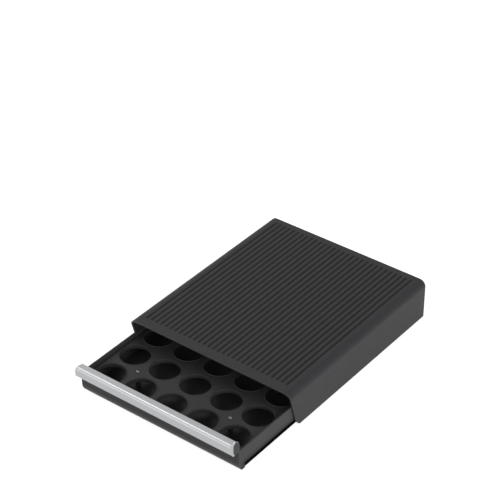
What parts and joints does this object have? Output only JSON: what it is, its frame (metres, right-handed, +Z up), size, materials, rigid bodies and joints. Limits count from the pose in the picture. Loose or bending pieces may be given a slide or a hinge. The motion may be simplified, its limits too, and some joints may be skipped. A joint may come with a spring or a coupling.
{
  "type": "coffee pod drawer",
  "caption": "Low ribbed housing that carries a coffee machine, with a sliding drawer of round wells for coffee pods and a full-width silver handle strip.",
  "frame": {"origin": "middle of the footprint on the worktop, with the drawer open 114.2 mm as it is drawn at rest", "axes": "+Z up; +Y from the drawer's front to the housing's back; +X to the right of someone facing the drawer"},
  "size_m": [0.271, 0.4348, 0.0624],
  "materials": {
    "charcoal_plastic": "fine matte texture",
    "black_plastic": "satin moulded",
    "brushed_silver": "brushed lengthwise",
    "screw_steel": "zinc plated",
    "slide_tape": "smooth, low friction",
    "nylon": "smooth",
    "foot_rubber": "matt"
  },
  "bodies": {
    "housing": {"housing_cover": "charcoal_plastic", "rear_panel": "charcoal_plastic", "rear_panel_screws": "screw_steel", "base_panel": "black_plastic", "left_runner": "slide_tape", "right_runner": "slide_tape", "left_keeper_rail": "black_plastic", "right_keeper_rail": "black_plastic", "feet": "foot_rubber", "rear_bumpers": "foot_rubber"},
    "drawer": {"drawer_tray": "black_plastic", "drawer_front": "black_plastic", "front_screws": "screw_steel", "handle_strip": "brushed_silver", "left_end_cap": "black_plastic", "pod_deck": "black_plastic", "deck_screws": "screw_steel", "left_glides": "nylon", "right_glides": "nylon"}
  },
  "joints": [
    {"name": "drawer_slide", "type": "slide", "parent": "housing", "child": "drawer", "axis": [0, -1, 0], "range_m": [-0.1142, 0.1088]}
  ]
}
